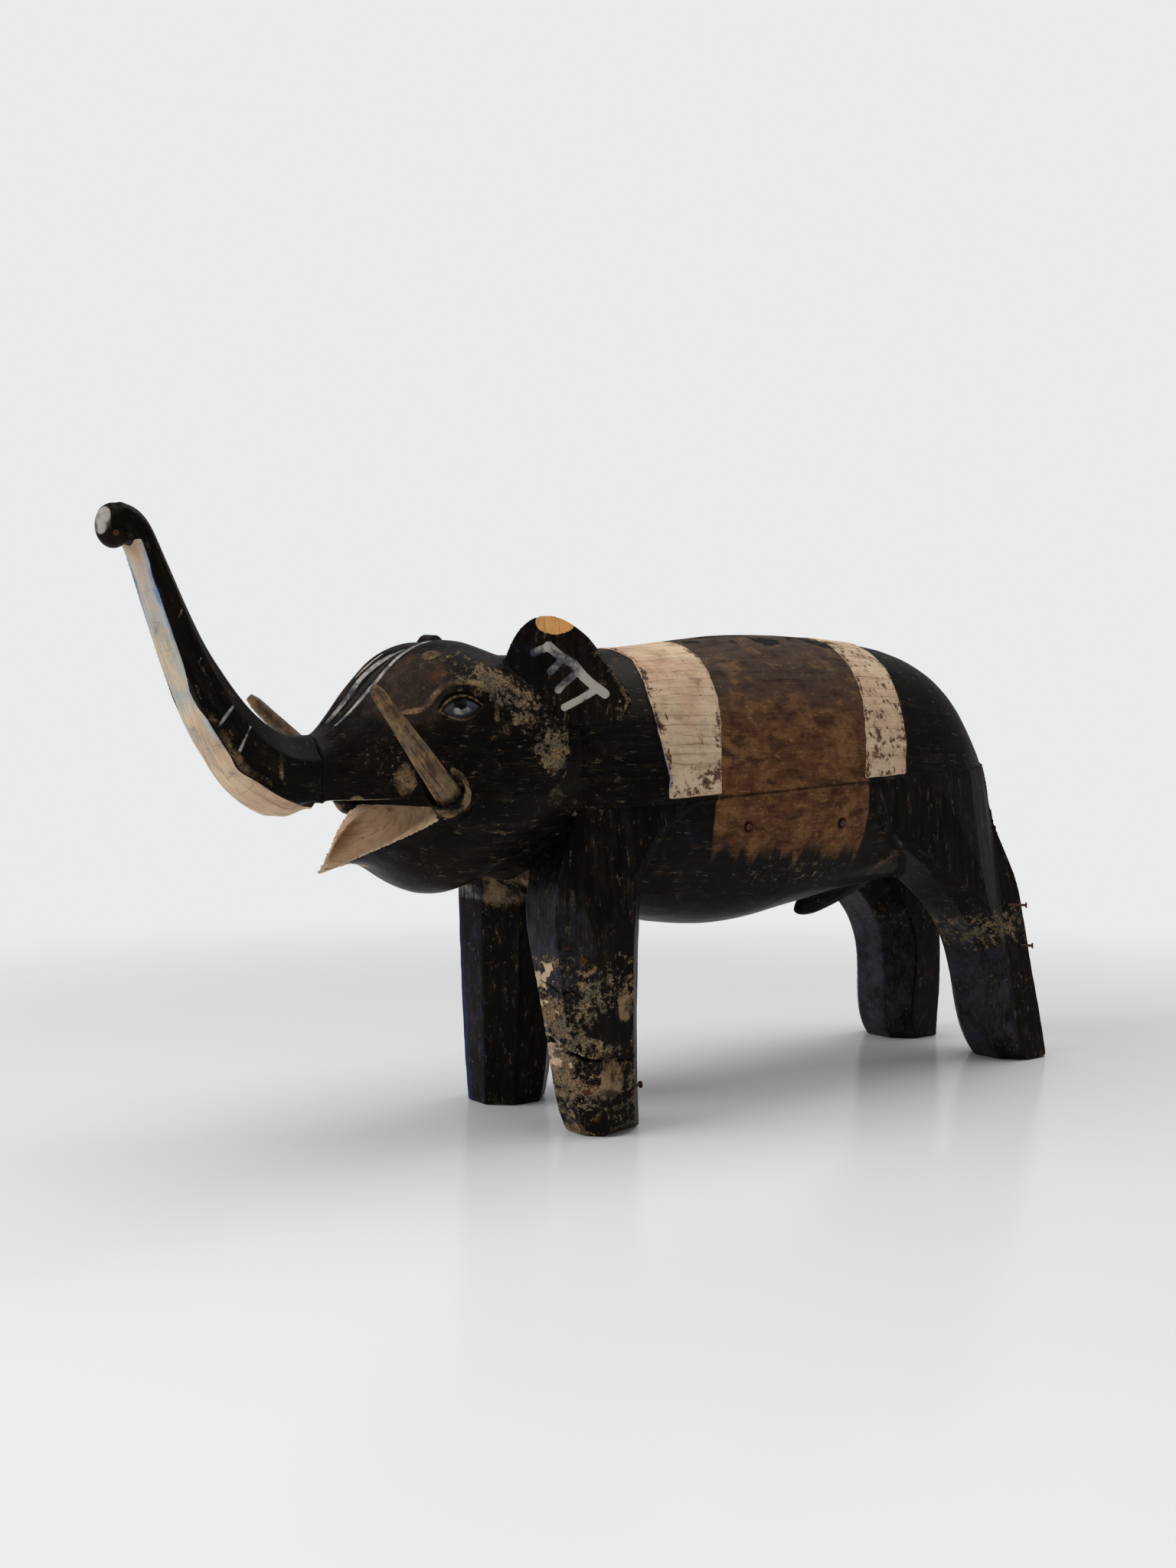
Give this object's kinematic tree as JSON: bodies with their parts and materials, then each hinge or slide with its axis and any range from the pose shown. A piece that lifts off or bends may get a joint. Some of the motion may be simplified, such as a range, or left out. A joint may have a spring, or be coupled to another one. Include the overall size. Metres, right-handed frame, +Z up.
{
  "type": "carved elephant figure",
  "caption": "Standing elephant figure in carved wood with a raised trunk, open mouth, tusks, flared ears and a painted saddle cloth, resting on flat soles.",
  "frame": {"origin": "centre of the figure's bounding box in plan, at the height of the soles", "axes": "+Z up, -Y the way the elephant faces (trunk end), +Y towards the tail, +X the elephant's left side"},
  "size_m": [0.1718, 0.671, 0.338],
  "materials": {
    "painted_wood": "worn black paint over carved wood, satin",
    "bare_wood": "bare weathered wood",
    "dowel_wood": "bare hardwood",
    "rusty_iron": "rusted wire nail"
  },
  "bodies": {
    "root": {"back_block": "painted_wood", "belly_block": "painted_wood", "head": "painted_wood", "trunk": "painted_wood", "tusk_left": "bare_wood", "tusk_right": "bare_wood", "ear_left": "painted_wood", "ear_right": "painted_wood", "leg_front_left": "painted_wood", "leg_front_right": "painted_wood", "leg_rear_left": "painted_wood", "leg_rear_right": "painted_wood", "tail": "painted_wood", "neck_dowels": "dowel_wood", "trunk_dowel": "dowel_wood", "body_dowels": "dowel_wood", "leg_dowels": "dowel_wood", "ear_pegs": "dowel_wood", "tail_peg": "dowel_wood", "flank_nails": "rusty_iron", "leg_nails": "rusty_iron"}
  },
  "joints": []
}
